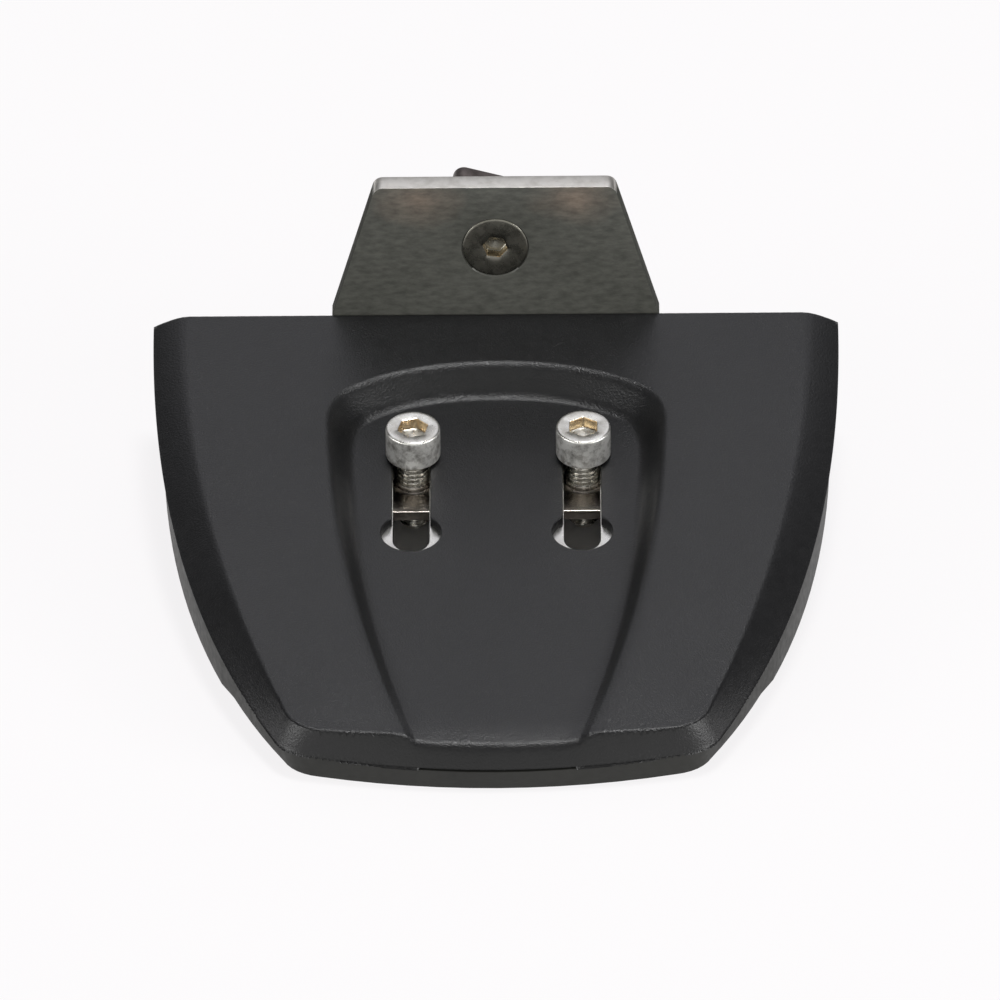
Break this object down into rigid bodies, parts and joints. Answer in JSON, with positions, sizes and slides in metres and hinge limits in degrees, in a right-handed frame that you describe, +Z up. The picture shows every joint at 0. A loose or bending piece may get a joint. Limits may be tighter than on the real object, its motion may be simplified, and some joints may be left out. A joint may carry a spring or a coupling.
{
  "type": "roof rack adapter",
  "caption": "Adapter foot for a roof rack: moulded cover on a rubber wedge pad, folded steel bracket with a track bolt and nut, and a clamp plate hung on cap screws in slots.",
  "frame": {"origin": "on the pad's underside, on the centre line, midway along its solid front part", "axes": "+Z up from the pad's level underside, +Y towards the upright, +X to the right when looking at the upright over the cover"},
  "size_m": [0.1276, 0.1377, 0.0539],
  "materials": {
    "cover_plastic": "fine-grained black moulded plastic",
    "pad_rubber": "matt olive-black rubber",
    "bracket_steel": "dark olive-grey finish on steel with bare sheared edges",
    "bolt_steel": "stainless steel, satin",
    "nut_steel": "dark brown-grey finish on steel",
    "plate_steel": "plain stainless sheet",
    "screw_steel": "bright stainless steel with a knurled head"
  },
  "bodies": {
    "root": {"cover": "cover_plastic", "base_pad": "pad_rubber", "mounting_bracket": "bracket_steel"},
    "clamp": {"clamp_plate": "plate_steel"},
    "left_screw": {"left_clamp_screw": "screw_steel"},
    "right_screw": {"right_clamp_screw": "screw_steel"},
    "bolt": {"track_bolt": "bolt_steel"},
    "nut": {"track_nut": "nut_steel"}
  },
  "joints": [
    {"name": "clamp_slide", "type": "slide", "parent": "root", "child": "clamp", "axis": [0, -0.9945, -0.1045], "range_m": [0, 0.0226]},
    {"name": "left_screw_travel", "type": "slide", "parent": "clamp", "child": "left_screw", "axis": [0, -0.1045, 0.9945], "range_m": [-0.0005, 0.006]},
    {"name": "right_screw_travel", "type": "slide", "parent": "clamp", "child": "right_screw", "axis": [0, -0.1045, 0.9945], "range_m": [-0.0005, 0.006]},
    {"name": "track_bolt_turn", "type": "hinge", "parent": "root", "child": "bolt", "pos_m": [0, 0.09527, 0.04096], "axis": [0, -1, 0], "range_deg": [0, 1080]},
    {"name": "track_nut_travel", "type": "slide", "parent": "root", "child": "nut", "axis": [0, 1, 0], "range_m": [0, 0.0029]}
  ],
  "couplings": [
    {"joint": "track_bolt_turn", "follows": "track_nut_travel", "rad_per_m": 6283.2}
  ]
}
